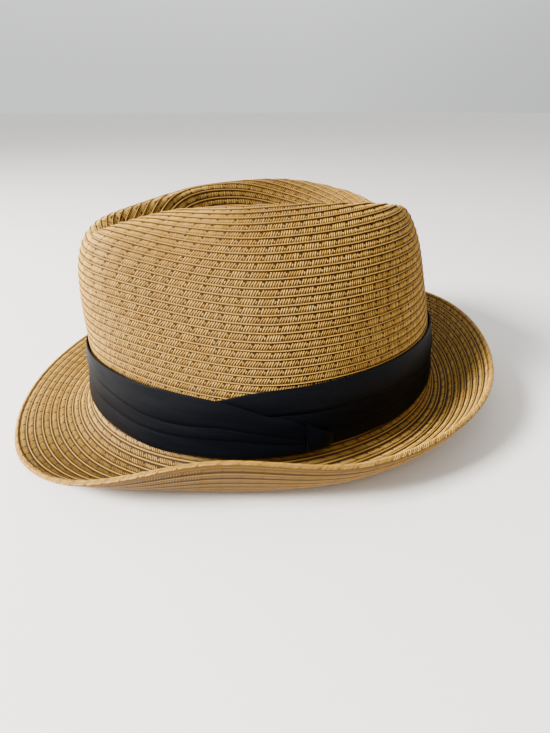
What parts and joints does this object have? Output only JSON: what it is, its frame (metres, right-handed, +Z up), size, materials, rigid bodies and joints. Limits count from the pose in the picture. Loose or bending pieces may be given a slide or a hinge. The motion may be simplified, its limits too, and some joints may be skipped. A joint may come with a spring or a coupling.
{
  "type": "sewn-braid straw trilby hat",
  "caption": "Straw trilby with a centre dent, pinched crown sides, a brim curled up at the sides and back, and a pleated satin hatband with crossed ends.",
  "frame": {"origin": "middle of the hat's box, at the level it rests on", "axes": "-Y to the front of the hat, +X to the wearer's left, +Z up through the crown"},
  "size_m": [0.2422, 0.2778, 0.1096],
  "materials": {
    "straw_braid": "sewn plaited straw, dry and slightly glossy on the raised strands",
    "black_satin": "black satin, soft sheen"
  },
  "bodies": {
    "root": {"crown": "straw_braid", "brim": "straw_braid", "hatband": "black_satin", "hatband_knot": "black_satin"}
  },
  "joints": []
}
